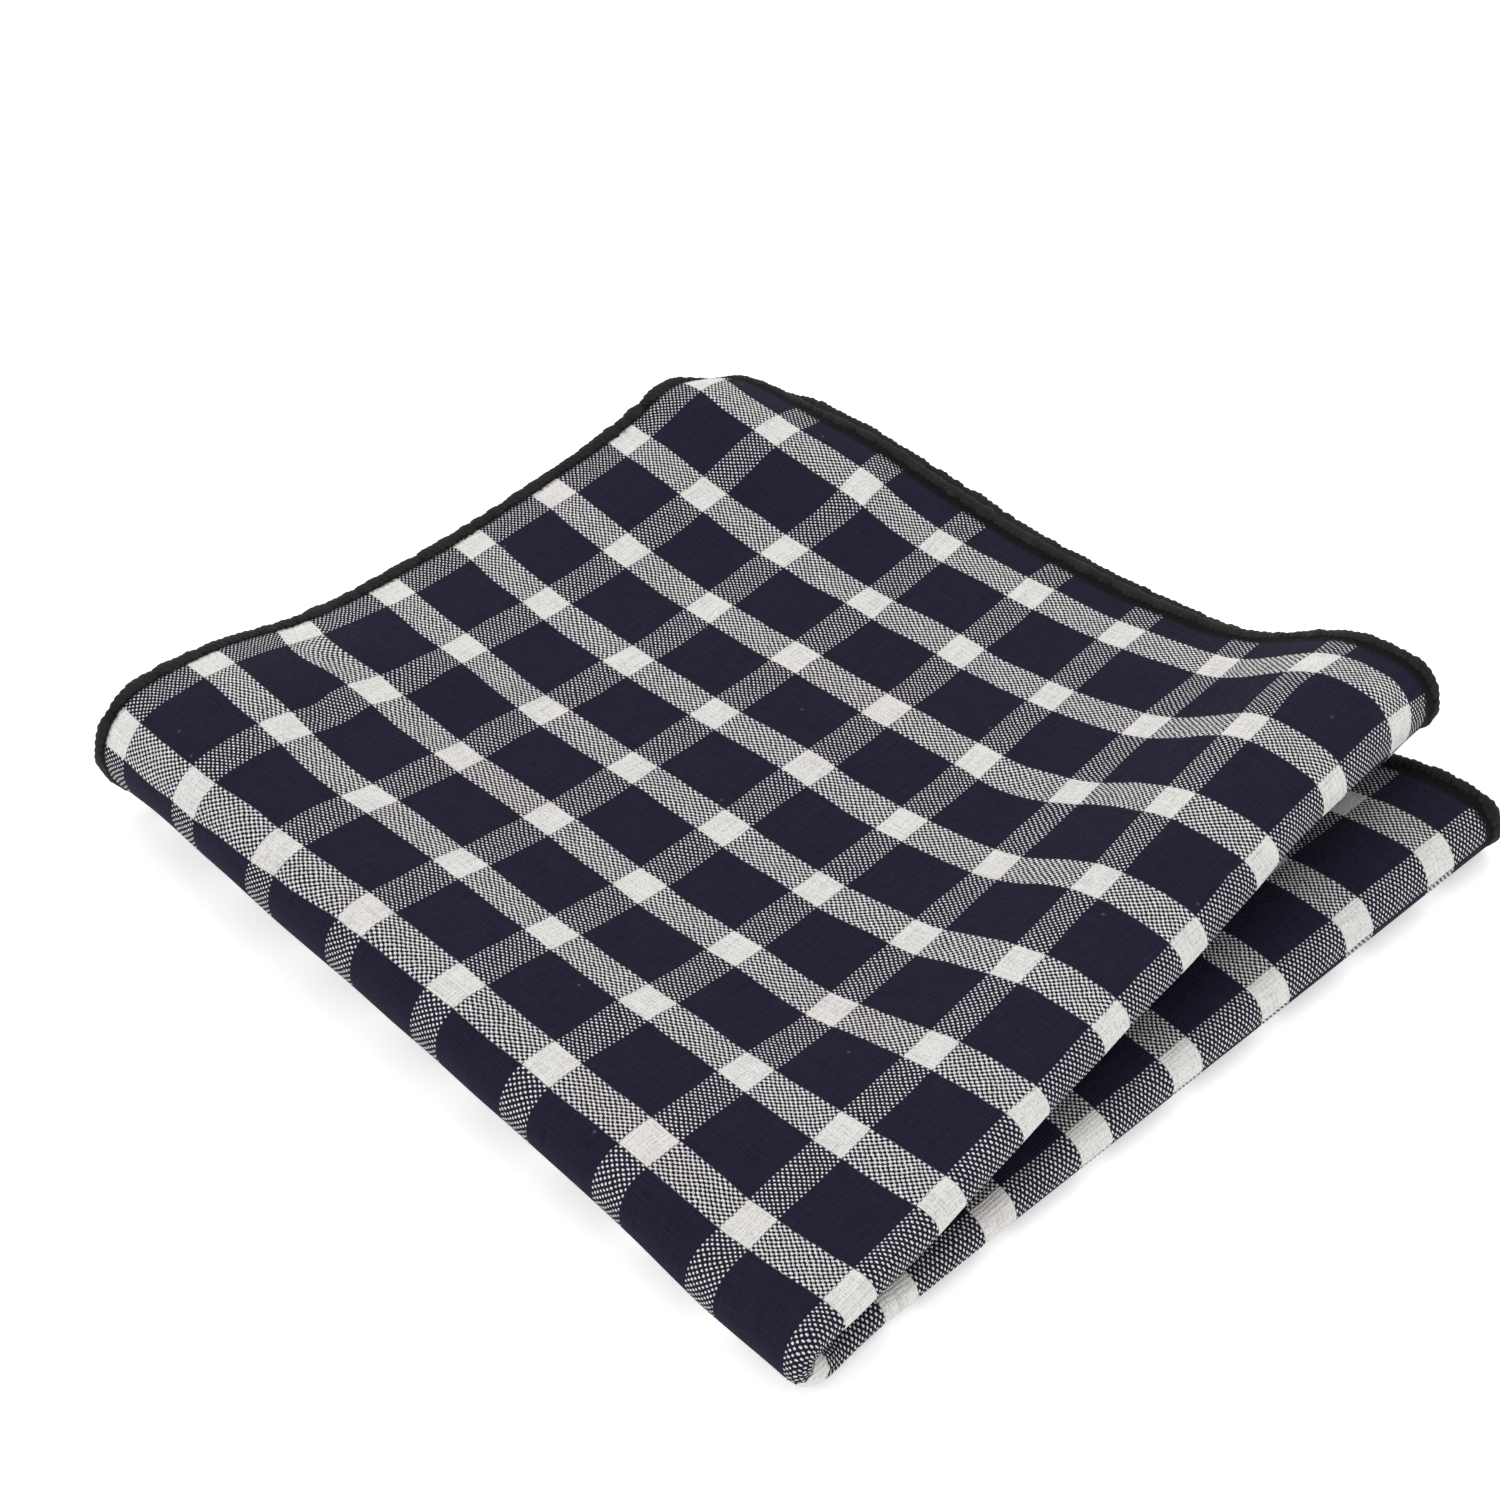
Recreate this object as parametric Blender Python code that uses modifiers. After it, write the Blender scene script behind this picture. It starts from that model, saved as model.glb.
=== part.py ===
"""A checked cotton square with an overlocked hem, folded in half and in half again, as it was laid down.

The cloth is one sheet. Its first fold, at +X, puts the inner half under the outer half. The second
fold, the spine at -Y, then turns the doubled cloth under itself, so that four layers lie one above
the other: outer, inner, inner, outer. Every point of the flat sheet is carried to its place in the
folded square by fold_cloth, and the sheet then gets its thickness.
"""

import math
from collections import namedtuple

import bmesh
import bpy
import numpy as np

MM = 0.001

# The flat cloth, in millimetres. A check is one repeat of the woven window check.
SIDE = 232.5
CHECK = 14.2
SHEET = 1.0
HEM_THICKNESS = 1.3
HEM_WIDTH = 2.0
HEM_STEP = 0.8
CORNER_RADIUS = 11.0

# Where the first fold lies, in the flat cloth. Past the spine the sheet has slid along, so that it
# folds nearer to the left hem: by SLIDE below the spine, and by SLIDE_AT_HEM at the bottom hem.
FIRST_FOLD = 118.7
SLIDE = 2.1
SLIDE_STARTS = 8.0
SLIDE_WAY = 24.0
SLIDE_AT_HEM = 3.7

# The folded square: the middles of two layers lie a LAYER apart.
LAYER = 1.7
LEFT_HEM_X = -0.27 * CHECK
BACK_HEM_Y = 7.62 * CHECK
CENTRE_X = 59.51
CENTRE_Y = 51.129

# The lower pair of layers: its first fold opens to its own roll at the hem, lifts a little, and
# splays outward. The pair is stretched beside the fold, slack elsewhere, its left hem tucked in.
LOWER_ROLL = 3.2
LOWER_LIFT = 0.5
LOWER_LIFT_WIDTH = 34.0
LOWER_SPLAY = 0.095
LOWER_STRETCH = 1.02
LOWER_SLACK = 0.95
LOWER_SLACK_WIDTH = 48.0
LOWER_TUCK = 3.0
LOWER_DRAWN_IN = 1.5
LOWER_TUCK_WAY = 16.0

# Past the first fold, the rolled edge closes to the layers' own distance over this width. The inner
# half turns more tightly round the spine, so away from the fold it reaches further back.
ROLL_CLOSES = 26.0
REACH_GROWS = 45.0

# The inner half's back left corner peeps out behind the top: how far, and over which width.
CORNER_PEEPS = 0.8
CORNER_PEEPS_WIDTH = 34.0

# The top is drawn in beside the first fold, over this width, and its back left corner droops, the
# droop ending soon across the cloth and more slowly down it.
DRAWN_IN_WIDTH = 30.0
CORNER_DROOP = 3.8
CORNER_DROOP_ACROSS = 6.0
CORNER_DROOP_DOWN = 16.0

# The spine's underside turns with the spine's radius down to this angle, then more gently.
UNDERSIDE_ANGLE = math.radians(40)

# Stations across the folded square, in checks from the left hem.
STATIONS = {
    "hem": 0.0,
    "brow": 0.6,
    "inner": 1.7,
    "middle": 3.7,
    "dip": 5.2,
    "rise": 6.2,
    "ridge": 7.45,
    "fold": 8.3,
}

# Height of the top at each station in millimetres, for sections between the spine's crest (along 0)
# and the back hem (along 1), with the first fold's roll radius and how far it is drawn in.
Section = namedtuple("Section", "along hem brow inner middle dip rise ridge fold roll drawn_in")
SECTIONS = (
    Section(0.00, 15.8, 16.8, 15.8, 14.0, 11.9, 10.4, 9.4, 10.0, 1.0, 0.0),
    Section(0.10, 14.4, 16.0, 14.0, 11.9, 10.3, 9.7, 10.1, 11.3, 1.2, 0.0),
    Section(0.25, 10.0, 11.3, 10.2, 8.2, 7.2, 7.8, 12.2, 13.4, 1.8, 0.3),
    Section(0.50, 7.4, 7.9, 6.8, 6.2, 6.3, 8.6, 15.6, 16.3, 2.4, 1.0),
    Section(0.80, 8.2, 8.8, 6.9, 6.2, 6.8, 10.3, 19.3, 19.4, 3.0, 1.9),
    Section(0.93, 10.1, 10.6, 9.4, 6.6, 7.4, 10.7, 19.7, 19.9, 3.8, 2.0),
    Section(1.00, 6.8, 7.4, 8.5, 6.4, 7.0, 10.0, 18.9, 18.5, 4.6, 1.8),
)

# The spine, at stations in checks from the left hem: how many checks it lies from the back hem in
# the flat cloth, and its own radius in millimetres.
Spine = namedtuple("Spine", "across place radius")
SPINE = (
    Spine(0.0, 7.86, 6.9),
    Spine(2.2, 8.00, 4.8),
    Spine(4.2, 8.09, 4.0),
    Spine(6.2, 8.17, 3.4),
    Spine(8.3, 8.37, 3.5),
)

# Lines of the sheet's mesh: their number in each stretch, and how far the close ones reach.
HEM_MIDDLE = 6.0
HEM_REACH = 9.6
FOLD_REACH = 9.0
FOLD_LINES = 15
SPINE_REACH_TOP = 12.0
SPINE_REACH_UNDER = 17.0
SPINE_LINES = 17
OUTER_LINES = 17
INNER_LINES = 16
TOP_LINES = 13
UNDER_LINES = 9

CLOTH_COLOUR = (0.055, 0.047, 0.105, 1.0)
NORMAL_STEP = 0.05


def ease(way):
    """0 to 1 with a level start and end."""
    way = np.clip(way, 0.0, 1.0)
    return way * way * (3.0 - 2.0 * way)


def smooth_curve(at, stations, values, level_start=False):
    """A smooth curve through values at stations. Values may hold one column for each point."""
    stations = np.asarray(stations, float)
    values = np.asarray(values, float)
    if values.ndim == 1:
        values = np.repeat(values[:, None], len(at), axis=1)
    slopes = np.gradient(values, stations, axis=0)
    if level_start:
        slopes[0] = 0.0
    at = np.clip(at, stations[0], stations[-1])
    start = np.clip(np.searchsorted(stations, at, side="right") - 1, 0, len(stations) - 2)
    width = stations[start + 1] - stations[start]
    way = (at - stations[start]) / width
    point = np.arange(len(at))
    low, high = values[start, point], values[start + 1, point]
    low_slope, high_slope = slopes[start, point] * width, slopes[start + 1, point] * width
    return (
        low * (1 + 2 * way) * (1 - way) ** 2
        + low_slope * way * (1 - way) ** 2
        + high * way**2 * (3 - 2 * way)
        - high_slope * way**2 * (1 - way)
    )


def section_column(name):
    return [getattr(section, name) for section in SECTIONS]


def spine_column(name):
    return [CHECK * getattr(row, name) for row in SPINE]


def spine_place(across):
    """How far down the flat cloth from the back hem the spine lies."""
    return smooth_curve(across, spine_column("across"), spine_column("place"))


def slide(v):
    """How far the sheet has slid towards +X, v from the back hem."""
    past_spine = v - SIDE / 2
    to_hem = np.clip(past_spine / (SIDE / 2), 0, 1)
    return SLIDE * ease((past_spine + SLIDE_STARTS) / SLIDE_WAY) + (SLIDE_AT_HEM - SLIDE) * to_hem


def top_height(across, along):
    """Height of the top layer's middle."""
    stations = CHECK * np.array(list(STATIONS.values()))
    rows = [smooth_curve(across, stations, [getattr(row, name) for name in STATIONS]) for row in SECTIONS]
    from_back = (1 - along) * BACK_HEM_Y
    droop = ease(1 - across / CORNER_DROOP_ACROSS) * ease(1 - from_back / CORNER_DROOP_DOWN)
    height = smooth_curve(along, section_column("along"), rows, level_start=True) - SHEET / 2
    return height - CORNER_DROOP * droop


def floor_height(across):
    """Height of the bottom layer's middle, which lifts beside the first fold."""
    return SHEET / 2 + LOWER_LIFT * ease((across - FIRST_FOLD + LOWER_LIFT_WIDTH) / LOWER_LIFT_WIDTH)


def spine_sizes(across):
    """The spine's crest and floor, its radius, and the gentler radius of its underside."""
    crest = top_height(across, np.zeros_like(across))
    floor = floor_height(across)
    radius = smooth_curve(across, spine_column("across"), [row.radius for row in SPINE])
    radius = np.minimum(radius, (crest - floor) / 2)
    turn = math.sin(UNDERSIDE_ANGLE)
    under_radius = (crest - radius - radius * turn - floor) / (1 - turn)
    return crest, floor, radius, under_radius


def outer_surface(across, out):
    """The middle of the outer layer. Out is the way along the cloth from the spine, minus below it."""
    crest, _, radius, under_radius = spine_sizes(across)
    quarter = math.pi / 2
    spine_y = BACK_HEM_Y - spine_place(across) + radius * (quarter - 1)

    turn = np.minimum(np.abs(out) / radius, quarter)
    past_crest = np.maximum(out - quarter * radius, 0)
    along = past_crest / (spine_place(across) - quarter * radius)
    top_y = spine_y + radius * (1 - np.cos(turn)) + past_crest
    top_z = np.where(past_crest > 0, top_height(across, along), crest - radius * (1 - np.sin(turn)))

    tight = UNDERSIDE_ANGLE
    gentle = np.clip((-out - tight * radius) / under_radius, 0, quarter - tight)
    lying = np.maximum(-out - tight * radius - (quarter - tight) * under_radius, 0)
    turn = np.minimum(turn, tight)
    beside_fold = ease((across - FIRST_FOLD + LOWER_SLACK_WIDTH) / LOWER_SLACK_WIDTH)
    stretch = LOWER_SLACK + (LOWER_STRETCH - LOWER_SLACK) * beside_fold
    under_y = spine_y + radius * (1 - np.cos(turn)) + stretch * lying
    under_y += under_radius * (math.cos(tight) - np.cos(tight + gentle))
    under_z = crest - radius * (1 + np.sin(turn))
    under_z -= under_radius * (np.sin(tight + gentle) - math.sin(tight))

    drawn_in = smooth_curve(along, section_column("along"), section_column("drawn_in"))
    drawn_in = drawn_in * ease((across - FIRST_FOLD + DRAWN_IN_WIDTH) / DRAWN_IN_WIDTH)
    below = out < 0
    tucked_in = LOWER_TUCK - (LOWER_TUCK + LOWER_DRAWN_IN) * across / FIRST_FOLD
    tucked_in = tucked_in * ease(-out / LOWER_TUCK_WAY)
    x = LEFT_HEM_X + across + np.where(below, LOWER_SPLAY * (under_y - spine_y) + tucked_in, -drawn_in)
    return np.stack([x, np.where(below, under_y, top_y), np.where(below, under_z, top_z)], axis=-1)


def first_fold(u, out):
    """How far across the folded square a point lies, and how deep inside the outer layer."""
    along = out / BACK_HEM_Y
    roll = smooth_curve(along, section_column("along"), section_column("roll"))
    roll += (LOWER_ROLL - SECTIONS[0].roll) * np.maximum(-out, 0) / (SIDE / 2)
    start = FIRST_FOLD - math.pi / 2 * roll
    turn = np.clip((u - start) / roll, 0, math.pi)
    back = np.maximum(u - start - math.pi * roll, 0)
    across = np.minimum(u, start) + roll * np.sin(turn) - back
    closed = ease(back / ROLL_CLOSES)
    return across, roll * (1 - np.cos(turn)) * (1 - closed) + LAYER * closed


def outer_way(across, out, depth, past_fold):
    """The outer layer's way from the spine, beside which a deeper layer's way from it ends.

    Above the spine the deeper layer turns on a smaller radius, so that it reaches further, the more
    so the further it is past the first fold.
    """
    radius = spine_sizes(across)[2]
    quarter = math.pi / 2
    in_turn = np.clip(out, 0, quarter * (radius - depth)) * radius / (radius - depth)
    further = in_turn + np.maximum(out - quarter * (radius - depth), 0) - out
    further = further * ease(past_fold / REACH_GROWS)
    to_corner = ease((past_fold - FIRST_FOLD + CORNER_PEEPS_WIDTH) / CORNER_PEEPS_WIDTH)
    further += CORNER_PEEPS * to_corner * out / BACK_HEM_Y
    return out + np.where(out < 0, 0, further)


def near_edge(distance):
    """1 in the hem, 0 in the cloth."""
    return np.clip((HEM_WIDTH + HEM_STEP - distance) / HEM_STEP, 0, 1)


def round_corners(u, v):
    """Draws the square's four corners in to quarter circles."""
    from_side = np.minimum(u, SIDE - u)
    from_end = np.minimum(v, SIDE - v)
    p = np.clip(1 - from_side / CORNER_RADIUS, 0, 1)
    q = np.clip(1 - from_end / CORNER_RADIUS, 0, 1)
    inward_u = CORNER_RADIUS * p * (1 - np.sqrt(1 - q * q / 2))
    inward_v = CORNER_RADIUS * q * (1 - np.sqrt(1 - p * p / 2))
    return u + np.where(u < SIDE / 2, inward_u, -inward_u), v + np.where(v < SIDE / 2, inward_v, -inward_v)


def fold_cloth(u, v, edge):
    """Carries points of the flat cloth, u from the left hem and v from the back hem, to their places."""
    u, v = round_corners(u, v)
    u = u + slide(v)
    out = spine_place(np.minimum(u, 2 * FIRST_FOLD - u)) - v
    across, depth = first_fold(u, out)
    out = spine_place(across) - v
    depth_at_spine = first_fold(u, np.zeros_like(u))[1]
    out = outer_way(across, out, depth_at_spine, u - FIRST_FOLD)
    place = outer_surface(across, out)
    along_x = outer_surface(across + NORMAL_STEP, out) - outer_surface(across - NORMAL_STEP, out)
    along_out = outer_surface(across, out + NORMAL_STEP) - outer_surface(across, out - NORMAL_STEP)
    outward = np.cross(along_x, along_out)
    outward /= np.linalg.norm(outward, axis=-1, keepdims=True)
    place = place - depth[:, None] * outward
    place[:, 2] += np.where(out < 0, (HEM_THICKNESS - SHEET) / 2 * edge, 0)
    return place - np.array([CENTRE_X, CENTRE_Y, 0.0])


def evenly(first, last, count):
    """Count steps from first to last, without first itself."""
    return [first + (last - first) * (step + 1) / count for step in range(count)]


def hem_lines():
    return [0.0, HEM_WIDTH, HEM_WIDTH + HEM_STEP, HEM_MIDDLE, HEM_REACH]


def lines_across(fold):
    """Where the sheet's lines cross it from the left hem to the inner half's hem."""
    lines = hem_lines() + evenly(HEM_REACH, fold - FOLD_REACH, OUTER_LINES)
    lines += evenly(lines[-1], fold + FOLD_REACH, FOLD_LINES)
    lines += evenly(lines[-1], SIDE - HEM_REACH, INNER_LINES)
    return np.array(lines + [SIDE - line for line in hem_lines()[-2::-1]])


def lines_along(spine):
    """Where the sheet's lines cross it from the bottom hem, past the spine, to the back hem."""
    lines = hem_lines() + evenly(HEM_REACH, spine - SPINE_REACH_TOP, TOP_LINES)
    lines += evenly(lines[-1], spine + SPINE_REACH_UNDER, SPINE_LINES)
    lines += evenly(lines[-1], SIDE - HEM_REACH, UNDER_LINES)
    return np.array(lines + [SIDE - line for line in hem_lines()[-2::-1]])[::-1]


def clear_scene():
    for obj in list(bpy.data.objects):
        bpy.data.objects.remove(obj, do_unlink=True)


def make_cotton():
    material = bpy.data.materials.new("cotton")
    material.use_nodes = True
    shader = material.node_tree.nodes["Principled BSDF"]
    shader.inputs["Base Color"].default_value = CLOTH_COLOUR
    shader.inputs["Roughness"].default_value = 0.9
    shader.inputs["Metallic"].default_value = 0.0
    return material


def make_cloth(collection):
    """The folded square: a grid whose points are carried to the folds, then thickened."""
    steps_across = len(lines_across(FIRST_FOLD)) - 1
    steps_along = len(lines_along(SIDE / 2)) - 1
    mesh = bpy.data.meshes.new("cloth")
    grid = bmesh.new()
    bmesh.ops.create_grid(grid, x_segments=steps_across, y_segments=steps_along, size=0.5)
    grid.verts.ensure_lookup_table()
    column = [round((vert.co.x + 0.5) * steps_across) for vert in grid.verts]
    row = [round((vert.co.y + 0.5) * steps_along) for vert in grid.verts]
    fold = FIRST_FOLD - slide(lines_along(SIDE / 2)[row])
    u = np.array([lines_across(place)[index] for place, index in zip(fold, column)])
    spine = spine_place(np.minimum(u, 2 * fold - u))
    v = np.array([lines_along(place)[index] for place, index in zip(spine, row)])
    edge = near_edge(np.minimum(np.minimum(u, SIDE - u), np.minimum(v, SIDE - v)))
    for vert, place in zip(grid.verts, fold_cloth(u, v, edge)):
        vert.co = MM * place
    grid.to_mesh(mesh)
    grid.free()
    mesh.materials.append(make_cotton())
    mesh.shade_smooth()

    cloth = bpy.data.objects.new("cloth", mesh)
    collection.objects.link(cloth)
    hem = cloth.vertex_groups.new(name="hem")
    for index, weight in enumerate(edge):
        hem.add([index], float(weight), "REPLACE")
    sheet = cloth.modifiers.new("sheet", "SOLIDIFY")
    sheet.thickness = MM * HEM_THICKNESS
    sheet.offset = 0.0
    sheet.use_even_offset = False
    sheet.vertex_group = "hem"
    sheet.thickness_vertex_group = SHEET / HEM_THICKNESS
    return cloth


def main():
    clear_scene()
    collection = bpy.data.collections.new("pocket_square")
    bpy.context.scene.collection.children.link(collection)
    make_cloth(collection)


main()
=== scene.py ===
"""A cotton square in a woven window check, overlocked all round and folded in quarters."""

import math
from collections import namedtuple

import bpy
import numpy as np
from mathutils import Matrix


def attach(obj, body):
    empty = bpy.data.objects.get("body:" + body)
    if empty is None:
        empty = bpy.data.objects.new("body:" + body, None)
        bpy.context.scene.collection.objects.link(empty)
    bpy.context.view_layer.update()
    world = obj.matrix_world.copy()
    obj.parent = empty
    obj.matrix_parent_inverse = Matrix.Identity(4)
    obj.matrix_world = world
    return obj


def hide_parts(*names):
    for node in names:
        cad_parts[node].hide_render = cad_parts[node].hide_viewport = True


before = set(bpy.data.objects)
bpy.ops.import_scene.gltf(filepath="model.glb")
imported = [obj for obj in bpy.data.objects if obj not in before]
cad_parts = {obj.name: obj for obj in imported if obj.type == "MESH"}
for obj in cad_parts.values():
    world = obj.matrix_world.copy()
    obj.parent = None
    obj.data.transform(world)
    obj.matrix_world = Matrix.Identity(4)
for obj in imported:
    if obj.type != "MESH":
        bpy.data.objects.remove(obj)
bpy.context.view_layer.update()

MM = 0.001

# The flat cloth, in millimetres. A check is one repeat of the woven window check.
SIDE = 232.5
CHECK = 14.2
SHEET = 1.0
CORNER_RADIUS = 11.0

# Where the first fold lies, in the flat cloth. Past the spine the sheet has slid along, so that it
# folds nearer to the left hem: by SLIDE below the spine, and by SLIDE_AT_HEM at the bottom hem.
FIRST_FOLD = 118.7
SLIDE = 2.1
SLIDE_STARTS = 8.0
SLIDE_WAY = 24.0
SLIDE_AT_HEM = 3.7

# The folded square: the middles of two layers lie a LAYER apart.
LAYER = 1.7
LEFT_HEM_X = -0.27 * CHECK
BACK_HEM_Y = 7.62 * CHECK
CENTRE_X = 59.51
CENTRE_Y = 51.129

# The lower pair of layers: its first fold opens to its own roll at the hem, lifts a little, and
# splays outward. The pair is stretched beside the fold, slack elsewhere, its left hem tucked in.
LOWER_ROLL = 3.2
LOWER_LIFT = 0.5
LOWER_LIFT_WIDTH = 34.0
LOWER_SPLAY = 0.095
LOWER_STRETCH = 1.02
LOWER_SLACK = 0.95
LOWER_SLACK_WIDTH = 48.0
LOWER_TUCK = 3.0
LOWER_DRAWN_IN = 1.5
LOWER_TUCK_WAY = 16.0

# Past the first fold, the rolled edge closes to the layers' own distance over this width. The inner
# half turns more tightly round the spine, so away from the fold it reaches further back.
ROLL_CLOSES = 26.0
REACH_GROWS = 45.0

# The inner half's back left corner peeps out behind the top: how far, and over which width.
CORNER_PEEPS = 0.8
CORNER_PEEPS_WIDTH = 34.0

# The top is drawn in beside the first fold, over this width, and its back left corner droops, the
# droop ending soon across the cloth and more slowly down it.
DRAWN_IN_WIDTH = 30.0
CORNER_DROOP = 3.8
CORNER_DROOP_ACROSS = 6.0
CORNER_DROOP_DOWN = 16.0

# The spine's underside turns with the spine's radius down to this angle, then more gently.
UNDERSIDE_ANGLE = math.radians(40)

# Stations across the folded square, in checks from the left hem.
STATIONS = {
    "hem": 0.0,
    "brow": 0.6,
    "inner": 1.7,
    "middle": 3.7,
    "dip": 5.2,
    "rise": 6.2,
    "ridge": 7.45,
    "fold": 8.3,
}

# Height of the top at each station in millimetres, for sections between the spine's crest (along 0)
# and the back hem (along 1), with the first fold's roll radius and how far it is drawn in.
Section = namedtuple("Section", "along hem brow inner middle dip rise ridge fold roll drawn_in")
SECTIONS = (
    Section(0.00, 15.8, 16.8, 15.8, 14.0, 11.9, 10.4, 9.4, 10.0, 1.0, 0.0),
    Section(0.10, 14.4, 16.0, 14.0, 11.9, 10.3, 9.7, 10.1, 11.3, 1.2, 0.0),
    Section(0.25, 10.0, 11.3, 10.2, 8.2, 7.2, 7.8, 12.2, 13.4, 1.8, 0.3),
    Section(0.50, 7.4, 7.9, 6.8, 6.2, 6.3, 8.6, 15.6, 16.3, 2.4, 1.0),
    Section(0.80, 8.2, 8.8, 6.9, 6.2, 6.8, 10.3, 19.3, 19.4, 3.0, 1.9),
    Section(0.93, 10.1, 10.6, 9.4, 6.6, 7.4, 10.7, 19.7, 19.9, 3.8, 2.0),
    Section(1.00, 6.8, 7.4, 8.5, 6.4, 7.0, 10.0, 18.9, 18.5, 4.6, 1.8),
)

# The spine, at stations in checks from the left hem: how many checks it lies from the back hem in
# the flat cloth, and its own radius in millimetres.
Spine = namedtuple("Spine", "across place radius")
SPINE = (
    Spine(0.0, 7.86, 6.9),
    Spine(2.2, 8.00, 4.8),
    Spine(4.2, 8.09, 4.0),
    Spine(6.2, 8.17, 3.4),
    Spine(8.3, 8.37, 3.5),
)

# Soft ridges and troughs of the top, in checks from the left hem and from the back hem, with their
# length and width in checks, their direction in degrees from +X and their height in millimetres.
Crease = namedtuple("Crease", "across down length width direction height")
CREASES = (
    Crease(1.35, 5.25, 0.9, 0.22, 28.0, 0.55),
    Crease(1.75, 5.75, 1.1, 0.28, 12.0, -0.45),
    Crease(2.9, 6.9, 2.2, 0.50, 4.0, 0.35),
    Crease(4.6, 2.6, 2.6, 0.60, 62.0, 0.30),
    Crease(6.4, 4.2, 2.4, 0.45, 80.0, -0.35),
    Crease(5.6, 6.5, 1.8, 0.45, 20.0, 0.30),
    Crease(2.4, 1.4, 1.8, 0.50, 100.0, 0.35),
    Crease(7.1, 1.6, 1.4, 0.40, 75.0, 0.40),
)

# The cloth's own unevenness: waves along and across it, in millimetres.
Wave = namedtuple("Wave", "length_x length_y start height")
WAVES = (
    Wave(31.0, 47.0, 0.7, 0.10),
    Wave(-23.0, 38.0, 2.1, 0.07),
    Wave(17.0, -27.0, 4.0, 0.05),
    Wave(-12.0, -14.5, 5.2, 0.03),
)

# Lines of the sheet's mesh: their spacing in the cloth, and beside the folds.
LINE = 1.5
FOLD_LINE = 0.75
FOLD_REACH = 11.0
SPINE_REACH_TOP = 13.0
SPINE_REACH_UNDER = 19.0
NORMAL_STEP = 0.05

# The weave's own drift in the cloth: how far the pattern is pulled along +X and towards the front at
# a place, in millimetres. The place, from the left and back hems, and the size of the pulled part
# are in checks.
Drift = namedtuple("Drift", "across down size pull_x pull_down")
DRIFTS = (
    Drift(1.27, 5.15, 0.30, 0.6, 0.0),
    Drift(1.25, 5.80, 0.28, -0.8, 0.0),
    Drift(1.27, 6.28, 0.28, 0.9, 0.0),
    Drift(2.27, 0.95, 0.50, 1.1, 0.0),
    Drift(2.30, 3.25, 0.70, 0.7, 0.0),
    Drift(2.27, 5.20, 0.40, -0.7, 0.0),
    Drift(2.27, 6.60, 0.35, 0.6, 0.0),
    Drift(3.90, 1.50, 1.50, 0.8, 0.0),
    Drift(5.30, 3.20, 1.30, 0.9, 0.0),
    Drift(6.27, 0.90, 0.45, 1.1, 0.0),
    Drift(7.27, 0.95, 0.50, -0.8, 0.0),
    Drift(7.10, 5.00, 1.90, 0.8, 0.0),
    Drift(0.54, 5.80, 0.38, 0.0, 2.2),
    Drift(3.40, 0.62, 0.90, 0.0, 0.8),
    Drift(6.60, 0.65, 0.40, 0.0, 0.9),
    Drift(7.70, 0.60, 0.50, 0.0, -1.1),
    Drift(2.80, 1.75, 1.00, 0.0, 0.6),
    Drift(7.20, 1.62, 0.60, 0.0, -0.6),
    Drift(5.75, 2.75, 0.30, 0.0, 0.7),
    Drift(6.60, 2.60, 0.35, 0.0, -1.0),
    Drift(2.10, 4.10, 1.20, 0.0, 0.9),
    Drift(7.40, 4.00, 0.90, 0.0, -0.6),
    Drift(2.00, 6.60, 0.70, 0.0, 0.9),
    Drift(6.00, 6.62, 1.20, 0.0, -1.0),
    Drift(3.60, 7.70, 1.60, 0.0, -0.7),
)

# Beside the left hem, over this width, the rows of the check rise towards the back hem.
ROWS_RISE = 1.5
ROWS_RISE_WIDTH = 13.0

# The overlock's upper side: how far in from the cloth's edge, and how far above the cloth's middle.
# A round bead wraps the edge, and the threads then lie flat on the cloth.
OVERLOCK_PROFILE = (
    (-0.58, 0.00),
    (-0.46, 0.40),
    (-0.12, 0.70),
    (0.35, 0.82),
    (0.85, 0.78),
    (1.30, 0.66),
    (1.70, 0.57),
)

# The overlock's loops: their pitch along the edge and the depth of the groove between two, how many
# loops one slants by for a millimetre inward, and how unevenly they are sewn. The edge's direction
# is taken between the stations this far to either side.
LOOP_PITCH = 0.95
LOOP_DEPTH = 0.12
LOOP_SLANT = 0.5
STATIONS_A_LOOP = 5
DIRECTION_STATIONS = 2
UNEVEN_LOOPS = 0.06
LOOP_SEED = 7

# The needle thread darkens the cloth beside the overlock: how far in from the left and right edges
# the stripes start to show and show in full, and how much further in from the other two.
STRIPES_FADE = (1.60, 2.45)
STRIPES_END_FURTHER = 0.80

# The weave, in threads a check, with the width of its stripes in checks and how softly they end, and
# how much of the threads' crossings each set of threads covers, from 0 where both cover the same,
# with how softly a thread ends.
THREADS_DOWN = 36
THREADS_ACROSS = 46
STRIPE_DOWN = 0.285
STRIPE_ACROSS = 0.325
STRIPE_EDGE = 0.006
DOWN_COVERS = 0.40
ACROSS_COVERS = 0.06
THREAD_EDGE = 0.20

# Where both sets of threads are white, the holes between the threads are painted half dark, as painted
# shade
# in the holes: they brighten between these values of the threads' waves, which are 0 in the middle of a
# hole and 1 on a thread.
BOTH_WHITE_GAP = (-0.55, 0.50)

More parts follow.
